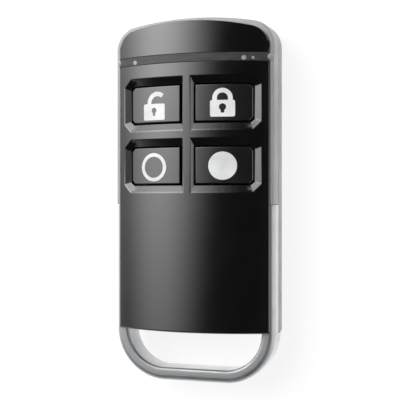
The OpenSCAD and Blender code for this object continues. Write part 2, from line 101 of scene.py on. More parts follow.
class NodeTree:
    """Short ways to add nodes to a tree and to fill their inputs. A node stands for its first output."""

    def __init__(self, tree: bpy.types.NodeTree) -> None:
        """Takes over a node tree of Blender's."""
        self.tree = tree

    def join(self, value: object, target: Socket) -> None:
        """Fills an input.

        Args:
            value: A node or an output to link, or a plain value.
            target: The input.
        """
        source = value.outputs[0] if isinstance(value, Node) else value
        if isinstance(source, Socket):
            self.tree.links.new(source, target)
        else:
            target.default_value = source

    def feed(self, node: Node, **values: object) -> Node:
        """Sets options of a node and fills inputs of it.

        Args:
            node: The node.
            **values: Options, by names with a small first letter, and what goes into the inputs, by
                their names with _ for a space.

        Returns:
            The node.
        """
        for name, value in values.items():
            if name[0].islower():
                setattr(node, name, value)
            else:
                self.join(value, node.inputs[name.replace("_", " ")])
        return node

    def add(self, kind: str, **values: object) -> Node:
        """Adds a node of a type, sets its options and fills its inputs."""
        return self.feed(self.tree.nodes.new(kind), **values)

    def work_out(self, operation: str, *terms: object) -> Node:
        """Adds a calculation.

        Args:
            operation: Blender's name of the operation.
            *terms: Nodes, outputs or numbers.

        Returns:
            The node that gives the result.
        """
        node = self.add("ShaderNodeMath", operation=operation)
        for target, term in zip(node.inputs, terms):
            self.join(term, target)
        return node


class ShaderTree(NodeTree):
    """Node tree of one material, with patterns that read Object coordinates."""

    middle: Pair = (0.3, 0.7)
    patch_layers: float = 3.0

    def __init__(self, name: str) -> None:
        """Starts a material.

        Args:
            name: Name of the material.
        """
        self.material = bpy.data.materials.new(name)
        self.material.use_nodes = True
        super().__init__(self.material.node_tree)
        self.shader = self.tree.nodes["Principled BSDF"]
        self.coords = self.add("ShaderNodeTexCoord").outputs["Object"]

    def surface(self, **inputs: object) -> None:
        """Fills inputs of the shader itself."""
        self.feed(self.shader, **inputs)

    def noise(self, size: float, stretch: Triple = (1.0, 1.0, 1.0), layers: float = 2.0) -> Node:
        """Adds a soft random pattern.

        Args:
            size: Size of its blotches.
            stretch: How much longer the blotches are along each axis.
            layers: Number of finer layers.

        Returns:
            The node that gives the pattern's value, from 0 to 1.
        """
        scale = [1.0 / share for share in stretch]
        place = self.add("ShaderNodeMapping", Vector=self.coords, Scale=scale)
        return self.add("ShaderNodeTexNoise", Vector=place, Scale=1.0 / size, Detail=layers)

    def patches(self, size: float) -> Node:
        """Adds a pattern of broad patches of a size."""
        return self.noise(size, layers=self.patch_layers)

    def vary_colour(self, value: Source, dark: Colour, light: Colour) -> None:
        """Varies the base colour.

        Args:
            value: The pattern that chooses between the two colours.
            dark: Colour where the pattern is low.
            light: Colour where the pattern is high.
        """
        ramp = self.add("ShaderNodeValToRGB", Fac=value)
        for stop, place, colour in zip(ramp.color_ramp.elements, self.middle, (dark, light)):
            stop.position = place
            stop.color = (*colour, 1.0)
        self.surface(Base_Color=ramp)

    def vary_roughness(self, value: Source, low: float, high: float, dull_height: float = 0.0) -> None:
        """Varies the roughness.

        Args:
            value: The pattern.
            low: Roughness where the pattern is low.
            high: Roughness where the pattern is high.
            dull_height: Height up to which the surface has no shine.
        """
        start, end = self.middle
        roughness = self.add(
            "ShaderNodeMapRange", Value=value, From_Min=start, From_Max=end, To_Min=low, To_Max=high
        )
        if dull_height > 0.0:
            height = self.add("ShaderNodeSeparateXYZ", Vector=self.coords).outputs["Z"]
            dull = self.work_out("LESS_THAN", height, dull_height)
            roughness = self.work_out("MAXIMUM", roughness, dull)
        self.surface(Roughness=roughness)

    def bump(self, value: Source, height: float, strength: float) -> None:
        """Raises the surface by a pattern.

        Args:
            value: The pattern.
            height: Height of the pattern's highest places.
            strength: Share of the pattern that shows.
        """
        self.surface(Normal=self.add("ShaderNodeBump", Height=value, Distance=height, Strength=strength))


def around(value: float, share: float) -> Pair:
    """The values that lie a share below and above a value."""
    return value * (1 - share), value * (1 + share)


def shades(colour: Colour, share: float) -> list[Colour]:
    """A colour made a share darker and a share lighter."""
    return [tuple(min(channel * by, 1.0) for channel in colour) for by in around(1.0, share)]


@dataclass(frozen=True)
class Finish:
    """A finish with a fine raised grain, faint clouding and patches of wear. Its values suit plastic."""

    name: str
    colour: Colour
    roughness: float = 0.4
    specular: float = 0.5
    ior: float = 1.5
    metallic: float = 0.0
    coat: float = 0.0
    coat_roughness: float = 0.3
    grain: float = 0.12 * MM
    grain_height: float = 0.004 * MM
    grain_strength: float = 0.5
    stretch: Triple = (1.0, 1.0, 1.0)
    clouding: float = 0.12
    wear: float = 0.08
    patch: float = 5.0 * MM
    dull_height: float = 0.0

    def material(self) -> Material:
        """Makes the material.

        Returns:
            The material.
        """
        tree = ShaderTree(self.name)
        grain = tree.noise(self.grain, self.stretch)
        patches = tree.patches(self.patch) if self.patch else grain
        tree.vary_colour(grain if self.metallic else patches, *shades(self.colour, self.clouding))
        tree.vary_roughness(patches, *around(self.roughness, self.wear), self.dull_height)
        tree.surface(
            Specular_IOR_Level=self.specular, IOR=self.ior, Metallic=self.metallic,
            Coat_Weight=self.coat, Coat_Roughness=self.coat_roughness,
        )
        tree.bump(grain, self.grain_height, self.grain_strength)
        return tree.material


@dataclass(frozen=True)
class Metal(Finish):
    """Metal or metallic paint, whose grain is fine lines or flakes that vary its colour too."""

    metallic: float = 1.0
    grain: float = 0.08 * MM
    grain_height: float = 0.002 * MM
    grain_strength: float = 0.4
    clouding: float = 0.05
    wear: float = 0.15
    patch: float = 4.0 * MM


@dataclass(frozen=True)
class PrintedBoard:
    """Circuit board: green resist over copper runs that show as lighter lines."""

    name: str
    resist: Colour
    over_copper: Colour
    pitch: float = 1.1 * MM
    wave_rate: float = 10.0
    bends: float = 3.0
    bend_scale: float = 0.4
    copper_height: float = 0.02 * MM
    copper_strength: float = 0.4
    patch: float = 2.0 * MM
    roughness: Pair = (0.25, 0.4)

    def material(self) -> Material:
        """Makes the material.

        Returns:
            The material.
        """
        tree = ShaderTree(self.name)
        runs = tree.add(
            "ShaderNodeTexWave", wave_profile="SAW", bands_direction="DIAGONAL", Vector=tree.coords,
            Scale=math.pi / (self.wave_rate * self.pitch), Distortion=self.bends, Detail=0.0,
            Detail_Scale=self.bend_scale,
        ).outputs["Fac"]
        tree.vary_colour(runs, self.resist, self.over_copper)
        tree.vary_roughness(tree.patches(self.patch), *self.roughness)
        tree.bump(runs, self.copper_height, self.copper_strength)
        return tree.material


@dataclass(frozen=True)
class Crown:
    """The coaxial rounded surfaces that the front face, the wells' feet and the key faces follow."""

    axis_height: float = -22.0 * MM
    face: float = 34.0 * MM
    foot: float = 33.25 * MM
    key: float = 33.35 * MM
    near: float = 0.012 * MM

    def outward(self, point: Vector) -> Vector:
        """Direction that points straight away from the crown's axis at a point."""
        return Vector((point.x, 0.0, point.z - self.axis_height)).normalized()

    def ends_on(self, edge: Edge, radius: float) -> list[bool]:
        """Which of an edge's ends lie on the surface of a radius."""
        reaches = [math.hypot(vert.co.x, vert.co.z - self.axis_height) for vert in edge.verts]
        return [abs(reach - radius) < self.near for reach in reaches]


def add_object(name: str, mesh: bpy.types.Mesh) -> Piece:
    """Puts a mesh into the scene as a new object at the origin.

    Args:
        name: Name of the object.
        mesh: The mesh.

    Returns:
        The new object.
    """
    piece = bpy.data.objects.new(name, mesh)
    bpy.context.scene.collection.objects.link(piece)
    return piece


def apply_modifiers(piece: Piece) -> None:
    """Turns what a piece's modifiers give into its own plain mesh and removes them.

    Args:
        piece: The piece.
    """
    evaluated = piece.evaluated_get(bpy.context.evaluated_depsgraph_get())
    mesh = bpy.data.meshes.new_from_object(evaluated)
    piece.modifiers.clear()
    rough, piece.data = piece.data, mesh
    bpy.data.meshes.remove(rough)
    mesh.name = piece.name


def dress(
    piece: Piece, material: Material, body: Body, stands_for: Iterable[str] = ()
) -> None:
    """Gives a finished piece its material, its body and the solids that it stands for.

    Args:
        piece: The piece.
        material: Its material.
        body: The body that it rides on.
        stands_for: Names of the solids that it replaces.
    """
    piece.data.materials.clear()
    piece.data.materials.append(material)
    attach(piece, body.value)
    if stands_for:
        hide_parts(*stands_for)
    LOG.info("%s: %d faces, rides on %s", piece.name, len(piece.data.polygons), body.value)


def runs_along(edge: Edge, axis: int, share: float = 0.9) -> bool:
    """Whether more than a share of an edge's length lies along an axis."""
    run = edge.verts[0].co - edge.verts[1].co
    return abs(run[axis]) > share * run.length


@dataclass(frozen=True)
class EdgeRounding:
    """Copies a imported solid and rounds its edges, with normals that keep its faces true."""

    rule: EdgeRule
    crown: Crown = Crown()
    widest: float = 0.5 * MM
    segments: int = 4
    sharp_angle: float = math.radians(22)
    flat_angle: float = math.radians(0.3)
    crown_angle: float = math.radians(4)
    weld: float = 0.002 * MM
    longest: float = 0.3 * MM

    def copy(self, node: str, name: str) -> Piece:
        """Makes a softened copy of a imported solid.

        Args:
            node: Name of the solid.
            name: Name of the copy.

        Returns:
            The new object, at the origin.
        """
        work = bmesh.new()
        work.from_mesh(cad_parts[node].data)
        bmesh.ops.remove_doubles(work, verts=work.verts, dist=self.weld)
        bmesh.ops.dissolve_limit(work, angle_limit=self.flat_angle, verts=work.verts, edges=work.edges)
        work.normal_update()
        self.mark_edges(work)
        mesh = bpy.data.meshes.new(name)
        work.to_mesh(mesh)
        work.free()
        for _ in (PLAIN, ROUNDED):
            mesh.materials.append(None)
        piece = add_object(name, mesh)
        bevel = piece.modifiers.new("rounding", "BEVEL")
        bevel.limit_method = "WEIGHT"
        bevel.width = self.widest
        bevel.segments = self.segments
        bevel.use_clamp_overlap = False
        bevel.material = ROUNDED
        apply_modifiers(piece)
        low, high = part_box(node)
        for vert in piece.data.vertices:
            vert.co = [min(max(place, least), most) for place, least, most in zip(vert.co, low, high)]
        self.set_normals(piece.data)
        return piece

    def mark_edges(self, work: bmesh.types.BMesh) -> None:
        """Marks how far each edge is rounded and splits those that bend with the crown.

        Args:
            work: The mesh.
        """
        weights = work.edges.layers.float.new("bevel_weight_edge")
        long_edges: dict[int, list[Edge]] = {}
        for edge in work.edges:
            if edge.calc_face_angle(0.0) > self.sharp_angle:
                edge[weights] = self.rule(edge) / self.widest
            if edge[weights] and not runs_along(edge, Y_AXIS):
                length = (edge.verts[0].co - edge.verts[1].co).length
                long_edges.setdefault(int(length / self.longest), []).append(edge)
        for cuts, edges in long_edges.items():
            if cuts:
                bmesh.ops.bisect_edges(work, edges=edges, cuts=cuts)

    def set_normals(self, mesh: bpy.types.Mesh) -> None:
        """Gives every corner of a rounded mesh a normal that follows the plain faces beside it.

        Args:
            mesh: The mesh, with the faces of its roundings marked by their material index.
        """
        work = bmesh.new()
        work.from_mesh(mesh)
        work.normal_update()
        normals = [self.corner_normal(corner) for face in work.faces for corner in face.loops]
        for face in work.faces:
            face.smooth = True
            face.material_index = PLAIN
        work.to_mesh(mesh)
        work.free()
        mesh.normals_split_custom_set(normals)

    def corner_normal(self, corner: bmesh.types.BMLoop) -> Vector:
        """Normal of one corner: that of the plain faces there, or the mean inside a rounding.

        Args:
            corner: The corner of a face.

        Returns:
            The normal.
        """
        around_here = [loop for loop in corner.vert.link_loops if loop.face.material_index != ROUNDED]
        if not around_here:
            return corner.vert.normal.copy()
        if corner.face.material_index != ROUNDED:
            limit = math.cos(self.sharp_angle)
            own = corner.face.normal
            around_here = [loop for loop in around_here if loop.face.normal.dot(own) > limit]
        outward = self.crown.outward(corner.vert.co)
        total = Vector()
        for loop in around_here:
            if loop.face.normal.dot(outward) > math.cos(self.crown_angle):
                return outward
            total += loop.face.normal * loop.calc_angle() * loop.face.calc_area()
        return total.normalized()


class NodeRecipe(NodeTree):
    """A Geometry Nodes tree with named inputs, which makes a finished piece from a rough mesh."""

    sharp_angle: float = math.radians(25)
    plate_cuts: int = 2
    merge: float = 0.001 * MM

    def __init__(self, name: str) -> None:
        """Starts a tree that takes and gives a geometry.

        Args:
            name: Name of the tree.
        """
        super().__init__(bpy.data.node_groups.new(name, "GeometryNodeTree"))
        self.input = self.add("NodeGroupInput")
        self.identifiers: dict[str, str] = {}
        (self.geometry,) = self.named_inputs("Geometry", kind="NodeSocketGeometry")
        self.tree.interface.new_socket("Geometry", in_out="OUTPUT", socket_type="NodeSocketGeometry")

    def named_inputs(self, *names: str, kind: str = "NodeSocketFloat") -> list[Socket]:
        """Adds named inputs.

        Args:
            *names: Names of the inputs.
            kind: Blender's name of their socket type.

        Returns:
            The sockets that give the inputs' values inside the tree.
        """
        for name in names:
            item = self.tree.interface.new_socket(name, in_out="INPUT", socket_type=kind)
            self.identifiers[name] = item.identifier
        return [self.input.outputs[name] for name in names]

    def position(self) -> list[Socket]:
        """The three coordinates of each point."""
        place = self.add("GeometryNodeInputPosition")
        return list(self.add("ShaderNodeSeparateXYZ", Vector=place).outputs)

    def vector(self, **parts: object) -> Node:
        """A vector from its parts X, Y and Z."""
        return self.add("ShaderNodeCombineXYZ", **parts)

    def plate(self, thickness: Socket) -> Node:
        """Fills the outlines that the tree takes and makes them a closed plate.

        Args:
            thickness: Thickness of the plate, up from height 0.

        Returns:
            The node that gives the plate.
        """
        curve = self.add("GeometryNodeMeshToCurve", Mesh=self.geometry)
        fill = self.add("GeometryNodeFillCurve", Curve=curve)
        fine = self.add("GeometryNodeSubdivideMesh", Mesh=fill, Level=self.plate_cuts)
        under = self.add("GeometryNodeFlipFaces", Mesh=fine)
        raised = self.add(
            "GeometryNodeExtrudeMesh", Mesh=fine, Offset=self.vector(Z=1.0), Offset_Scale=thickness,
            Individual=False,
        )
        both = self.add("GeometryNodeJoinGeometry", Geometry=under)
        self.feed(both, Geometry=raised)
        return self.add("GeometryNodeMergeByDistance", Geometry=both, Distance=self.merge)

    def finish(self, geometry: Node) -> NodeRecipe:
        """Ends the tree: real meshes and the material.

        Args:
            geometry: The node that gives the tree's geometry.

        Returns:
            This recipe.
        """
        (material,) = self.named_inputs("Material", kind="NodeSocketMaterial")
        real = self.add("GeometryNodeRealizeInstances", Geometry=geometry)
        dressed = self.add("GeometryNodeSetMaterial", Geometry=real, Material=material)
        self.add("NodeGroupOutput", Geometry=dressed)
        return self

    def make(self, piece: Piece, **values: object) -> Piece:
        """Runs the tree on a piece and keeps the result as its plain mesh.

        Args:
            piece: The piece with its rough mesh.
            **values: Values of the inputs, with _ for a space in a name.

        Returns:
            The piece.
        """
        modifier = piece.modifiers.new(self.tree.name, "NODES")
        modifier.node_group = self.tree
        for name, value in values.items():
            modifier[self.identifiers[name.replace("_", " ")]] = value
        apply_modifiers(piece)
        piece.data.shade_smooth()
        piece.data.set_sharp_from_angle(angle=self.sharp_angle)
        return piece


def arc(middle: Pair, radius: float, start: float, end: float, steps: int = 12) -> Outline:
    """Points along an arc.

    Args:
        middle: Centre of the arc.
        radius: Its radius.
        start: Angle of its first point, in degrees.
        end: Angle of its last point, in degrees.
        steps: Number of its pieces.

    Returns:
        The points.
    """
    x, y = middle
    angles = [math.radians(start + (end - start) * step / steps) for step in range(steps + 1)]
    return [(x + radius * math.cos(angle), y + radius * math.sin(angle)) for angle in angles]


def circle(middle: Pair, radius: float, sides: int) -> Outline:
    """Points round a circle."""
    return arc(middle, radius, 0, 360 - 360 / sides, sides - 1)


def draw_lines(name: str, lines: Sequence[Outline], height: float = 0.0, closed: bool = True) -> Piece:
    """Draws lines as a mesh of points and edges.

    Args:
        name: Name of the object.
        lines: The points of each line.
        height: Height of all points.
        closed: Whether each line's last point joins its first.

    Returns:
        The new object.
    """
    points: list[Triple] = []
    edges: list[tuple[int, int]] = []
    for line in lines:
        first, count = len(points), len(line)
        steps = count if closed else count - 1
        points += [(x, y, height) for x, y in line]
        edges += [(first + step, first + (step + 1) % count) for step in range(steps)]
    mesh = bpy.data.meshes.new(name)
    mesh.from_pydata(points, edges, [])
    return add_object(name, mesh)


@dataclass(frozen=True)
class Padlock:
    """Outline of a padlock sign: a body with a keyhole, and a shackle."""

    middle: float
    low: float
    high: float
    half: float
    shackle_middle: Pair
    shackle_out: float
    shackle_in: float
    shackle_end: float
    keyhole: Pair
    keyhole_half: float
    keyhole_stem: float
    keyhole_foot: float = 60.0
    corner: float = 0.35 * MM
    corner_steps: int = 4
    curve_steps: int = 20
    closed_steps: int = 24

    def outlines(self) -> list[Outline]:
        """The padlock's outlines.

        Returns:
            The outer outline, the keyhole and, under a closed shackle, its opening.
        """
        inset, steps = self.half - self.corner, self.curve_steps
        left, right = self.middle - inset, self.middle + inset
        low, high = self.low + self.corner, self.high - self.corner
        starts = {(left, low): 180, (right, low): 270, (right, high): 0, (left, high): 90}
        *body, top = (
            arc(place, self.corner, start, start + 90, self.corner_steps)
            for place, start in starts.items()
        )
        outer = [point for corner in body for point in corner] + self.shackle() + top
        (x, y), foot = self.keyhole, self.keyhole_foot
        stem = [(x + side * self.keyhole_half / 2, y - self.keyhole_stem) for side in SIDES]
        hole = arc(self.keyhole, self.keyhole_half, -foot, 180 + foot, steps) + stem
        if self.shackle_end > 0.0:
            return [outer, hole]
        feet = [(self.shackle_middle[0] + side * self.shackle_in, self.high) for side in SIDES]
        return [outer, hole, feet + arc(self.shackle_middle, self.shackle_in, 0, 180, steps)]

    def shackle(self) -> Outline:
        """The shackle's part of the outer outline.

        Returns:
            The points, from its right end to its left foot.
        """
        middle, out, end = self.shackle_middle, self.shackle_out, self.shackle_end
        left_foot = (middle[0] - out, self.high)
        if end <= 0.0:
            right_foot = (middle[0] + out, self.high)
            return [right_foot, *arc(middle, out, 0, 180, self.closed_steps), left_foot]
        inner_foot = (middle[0] - self.shackle_in, self.high)
        inner = arc(middle, self.shackle_in, 180, end, self.curve_steps)
        return [inner_foot, *inner, *arc(middle, out, end, 180, self.curve_steps), left_foot]


@dataclass
class KeyPad:
    """The four key caps and the signs printed on them."""

    crown: Crown = Crown()
    face_edge: float = 0.2 * MM
    corner_edge: float = 0.12 * MM
    print_thickness: float = 0.06 * MM
    print_proud: float = 0.02 * MM
    ring_middle: Pair = (-7.3 * MM, 6.4 * MM)
    ring_sizes: Pair = (2.77 * MM, 2.07 * MM)
    disc_middle: Pair = (6.83 * MM, 6.55 * MM)
    disc_out: float = 2.71 * MM
    circle_sides: int = 60
    open_padlock: Padlock = Padlock(
        middle=-7.2 * MM, low=15.6 * MM, high=18.81 * MM, half=2.38 * MM,
        shackle_middle=(-6.5 * MM, 18.95 * MM), shackle_out=2.2 * MM, shackle_in=1.32 * MM,
        shackle_end=48.0, keyhole=(-7.2 * MM, 17.5 * MM), keyhole_half=0.55 * MM, keyhole_stem=1.0 * MM,
    )
    closed_padlock: Padlock = Padlock(
        middle=6.82 * MM, low=15.93 * MM, high=19.12 * MM, half=2.36 * MM,
        shackle_middle=(6.82 * MM, 19.5 * MM), shackle_out=1.93 * MM, shackle_in=1.05 * MM,
        shackle_end=0.0, keyhole=(6.84 * MM, 17.8 * MM), keyhole_half=0.68 * MM, keyhole_stem=1.1 * MM,
    )
    cap_finish: Finish = Finish(
        "key_black", (0.002, 0.002, 0.0021), roughness=0.3, specular=1.0, ior=1.54, dull_height=8.0 * MM
    )
    ink_finish: Finish = Finish(
        "white_print", (0.86, 0.865, 0.87), roughness=0.65, specular=0.0, grain=0.06 * MM
    )

    def build(self) -> None:
        """Makes and dresses the caps and their signs."""
        cap, ink = self.cap_finish.material(), self.ink_finish.material()
        rounding, recipe = EdgeRounding(self.radius), self.print_recipe()
        ring = [circle(self.ring_middle, size, self.circle_sides) for size in self.ring_sizes]
        disc = [circle(self.disc_middle, self.disc_out, self.circle_sides)]
        for node, body, sign, outlines in (
            ("button_unlock", Body.UNLOCK, Sign.OPEN_PADLOCK, self.open_padlock.outlines()),
            ("button_lock", Body.LOCK, Sign.CLOSED_PADLOCK, self.closed_padlock.outlines()),
            ("button_ring", Body.RING, Sign.RING, ring),
            ("button_disc", Body.DISC, Sign.DISC, disc),
        ):
            dress(rounding.copy(node, f"{node}_cap"), cap, body, [node])
            piece = recipe.make(
                draw_lines(f"sign_{sign.value}", outlines), Radius=self.crown.key,
                Axis=self.crown.axis_height, Thickness=self.print_thickness,
                Sink=self.print_thickness - self.print_proud, Material=ink,
            )
            dress(piece, ink, body)

    def radius(self, edge: Edge) -> float:
        """How far an edge of a key cap is rounded.

        Args:
            edge: The edge.

        Returns:
            The rounding's width.
        """
        on_face = self.crown.ends_on(edge, self.crown.key)
        if all(on_face):
            return self.face_edge
        return self.corner_edge if any(on_face) and runs_along(edge, Z_AXIS) else 0.0

    def print_recipe(self) -> NodeRecipe:
        """Makes the tree that fills a sign's outlines and lays the print on the key's crown.

        Returns:
            The tree.
        """
        recipe = NodeRecipe("printed_sign")
        radius, axis, thickness, sink = recipe.named_inputs("Radius", "Axis", "Thickness", "Sink")
        whole = recipe.plate(thickness)
        x, y, z = recipe.position()
        squares = [recipe.work_out("MULTIPLY", length, length) for length in (radius, x)]
        rise = recipe.work_out("SQRT", recipe.work_out("SUBTRACT", *squares))
        crown = recipe.work_out("ADD", axis, rise)
        height = recipe.work_out("ADD", crown, recipe.work_out("SUBTRACT", z, sink))
        laid = recipe.vector(X=x, Y=y, Z=height)
        return recipe.finish(recipe.add("GeometryNodeSetPosition", Geometry=whole, Position=laid))


@dataclass
class FrontCover:
    """The crowned black cover with its four wells."""

    crown: Crown = Crown()
    groove_half: float = 1.0 * MM
    rim: float = 0.18 * MM
    outline: float = 0.2 * MM
    ridge: float = 0.14 * MM
    foot: float = 0.07 * MM
    groove: float = 0.06 * MM
    upright: float = 0.1
    finish: Finish = Finish(
        "black_satin", (0.002, 0.002, 0.0021), roughness=0.2, specular=1.0, ior=1.54
    )

    def build(self) -> None:
        """Makes and dresses the cover."""
        piece = EdgeRounding(self.radius).copy("front_cover", "front_cover_shell")
        dress(piece, self.finish.material(), Body.CASE, ["front_cover"])

    def radius(self, edge: Edge) -> float:
        """How far an edge of the cover is rounded: only edges of the face and of the wells are.

        Args:
            edge: The edge.

        Returns:
            The rounding's width.
        """
        on_face = self.crown.ends_on(edge, self.crown.face)
        on_foot = self.crown.ends_on(edge, self.crown.foot)
        if all(on_face):
            if all(abs(vert.co.y - STRIP_MIDDLE) < self.groove_half for vert in edge.verts):
                return self.groove
            wall = any(abs(face.normal.z) < self.upright for face in edge.link_faces)
            return self.outline if wall else self.rim
        if all(on_foot):
            return self.foot
        return self.ridge if any(on_face) and any(on_foot) else 0.0


@dataclass
class LightStrip:
    """The smoked light strip across the cover, with small pale domes on it: windows over its lamps that
    also carry painted glints, one dome that is only a painted glint, and painted highlights at its two
    ends.
    """

    crown: Crown = Crown()
    edge: float = 0.08 * MM
    # Pale window domes over the lamps. The lamp windows are real, but their brightness and sizes are
    # painted glints, and the third dome is only a painted glint.
    window_glints: tuple[Pair, ...] = ((-11.45 * MM, 1.0), (10.95 * MM, 1.0), (12.6 * MM, 0.65))
    window_glints_low: float = 0.25 * MM
    window_glint_sizes: Triple = (0.45 * MM, 0.45 * MM, 0.03 * MM)
    # The pale domes at the strip's two ends are painted highlights, not parts of the strip.
    end_glint_place: float = 15.5 * MM
    end_glint_height: float = 8.0 * MM
    end_glint_sizes: Triple = (0.65 * MM, 0.75 * MM, 0.35 * MM)
    dome_segments: int = 24
    finish: Finish = Finish(
        "smoked_clear", (0.06, 0.061, 0.063), ior=1.36, grain=0.5 * MM, grain_height=0.002 * MM,
        grain_strength=0.3, stretch=(8.0, 1.0, 1.0), clouding=0.2, wear=0.15, patch=0.0,
    )
    # This pale grey paints the glints on the lamp windows and the highlights at the strip's ends.
    window_glint_finish: Finish = Finish("frosted_window_glint", (0.35, 0.36, 0.37), roughness=0.3, grain=0.05 * MM)

    def build(self) -> None:
        """Makes and dresses the strip, its lamp windows with their painted glints, and the painted
        highlights at its ends.
        """
        strip = EdgeRounding(self.radius).copy("light_strip", "light_strip_bar")
        dress(strip, self.finish.material(), Body.CASE, ["light_strip"])
        pale_glint = self.window_glint_finish.material()
        recipe = self.window_glint_recipe()
        face, axis = self.crown.face, self.crown.axis_height
        low = STRIP_MIDDLE - self.window_glints_low
        window_glints = {(x, low, axis + math.sqrt(face**2 - x**2)): share for x, share in self.window_glints}
        # Painted highlights at the strip's two ends.
        end_glints = {(side * self.end_glint_place, STRIP_MIDDLE, self.end_glint_height): 1.0 for side in SIDES}
        for name, points, (across, along, proud) in (
            ("strip_window_glints", window_glints, self.window_glint_sizes),
            ("strip_end_glints", end_glints, self.end_glint_sizes),
        ):
            mesh = bpy.data.meshes.new(name)
            mesh.from_pydata(list(points), [], [])
            # The share on each point sets the size of its painted glint.
            shares = mesh.attributes.new("share", "FLOAT", "POINT")
            shares.data.foreach_set("value", list(points.values()))
            piece = recipe.make(
                add_object(name, mesh), Across=across, Along=along, Proud=proud, Axis=axis,
                Material=pale_glint,
            )
            dress(piece, pale_glint, Body.CASE)

    def radius(self, edge: Edge) -> float:
        """How far an edge of the strip is rounded: only those at the face are."""
        return self.edge if all(self.crown.ends_on(edge, self.crown.face)) else 0.0

    def window_glint_recipe(self) -> NodeRecipe:
        """Makes the tree that sets a small pale dome, a painted glint, on each of the piece's points.

        Returns:
            The tree.
        """
        recipe = NodeRecipe("strip_window_glints")
        *sizes, axis = recipe.named_inputs("Across", "Along", "Proud", "Axis")
        segments = self.dome_segments
        dome = recipe.add("GeometryNodeMeshUVSphere", Segments=segments, Rings=segments // 2, Radius=1.0)
        share = recipe.add("GeometryNodeInputNamedAttribute", Name="share")
        sides = {part: recipe.work_out("MULTIPLY", size, share) for part, size in zip("XYZ", sizes)}
        x, _, z = recipe.position()
        outward = recipe.vector(X=x, Z=recipe.work_out("SUBTRACT", z, axis))
        turn = recipe.add("FunctionNodeAlignRotationToVector", axis="Z", Vector=outward)
        return recipe.finish(recipe.add(
            "GeometryNodeInstanceOnPoints", Points=recipe.geometry, Instance=dome, Rotation=turn,
            Scale=recipe.vector(**sides),
        ))


@dataclass(frozen=True)
class Plan:
    """Outline of the fob from above: straight sides, rounded corners and an arched top."""

    top: float = 35.75 * MM
    arch: float = 65.0 * MM
    corner: float = 4.8 * MM
    arch_steps: int = 24

    def path(self, inset: float, low: float) -> Outline:
        """Points of a path beside the outline, from the left over the arched top to the right.

        Args:
            inset: Distance of the path from the outline.
            low: Place of the path's two ends along the fob.

        Returns:
            The points.
        """
        axis, reach = self.top - self.arch, self.arch - self.corner
        x = HALF_WIDTH - self.corner
        y = axis + math.sqrt(reach**2 - x**2)
        lean = math.degrees(math.asin(x / reach))
        bend = self.corner - inset
        left = arc((-x, y), bend, 180, 90 + lean)
        over = arc((0.0, axis), self.arch - inset, 90 + lean, 90 - lean, self.arch_steps)
        right = arc((x, y), bend, 90 - lean, 0)
        return [(inset - HALF_WIDTH, low), *left, *over[1:-1], *right, (HALF_WIDTH - inset, low)]


@dataclass(frozen=True)
class Section:
    """Section of a bar with rounded edges, whose inner side lies on the right of the bar's path."""

    width: float
    outer_edge: float
    inner_edge: float
    rear_edge: float
    edge_steps: int = 12
    index_near: float = 0.1

    def sweep(
        self, name: str, lines: Sequence[Outline], low: float, high: float, material: Material
    ) -> Piece:
        """Makes bars of this section along level paths.

        Args:
            name: Name of the piece.
            lines: Middle lines of the bars.
            low: Height of their rear.
            high: Height of their front.
            material: Their material.

        Returns:
            The piece.
        """
        piece = self.recipe().make(
            draw_lines(name, lines, (low + high) / 2, closed=False), Width=self.width, Height=high - low,
            Outer_Edge=self.outer_edge, Inner_Edge=self.inner_edge, Rear_Edge=self.rear_edge,
            Material=material,
        )
        work = bmesh.new()
        work.from_mesh(piece.data)
        bmesh.ops.recalc_face_normals(work, faces=work.faces)
        work.to_mesh(piece.data)
        work.free()
        return piece

    def recipe(self) -> NodeRecipe:
        """Makes the tree that sweeps the section along a path.

        Returns:
            The tree.
        """
        recipe = NodeRecipe("swept_bar")
        width, height = recipe.named_inputs("Width", "Height")
        outer, inner, rear = recipe.named_inputs("Outer Edge", "Inner Edge", "Rear Edge")
        curve = recipe.add("GeometryNodeMeshToCurve", Mesh=recipe.geometry)
        upright = recipe.add("GeometryNodeSetCurveNormal", mode="Z_UP", Curve=curve)
        section = recipe.add("GeometryNodeCurvePrimitiveQuadrilateral", Width=width, Height=height)
        index = recipe.add("GeometryNodeInputIndex")
        radius = rear
        for corner, size in ((OUTER_FRONT, outer), (INNER_FRONT, inner)):
            here = recipe.work_out("COMPARE", index, corner, self.index_near)
            more = recipe.work_out("SUBTRACT", size, rear)
            radius = recipe.work_out("MULTIPLY_ADD", here, more, radius)
        rounded = recipe.add(
            "GeometryNodeFilletCurve", mode="POLY", Curve=section, Radius=radius, Count=self.edge_steps
        )
        return recipe.finish(recipe.add(
            "GeometryNodeCurveToMesh", Curve=upright, Profile_Curve=rounded, Fill_Caps=True
        ))


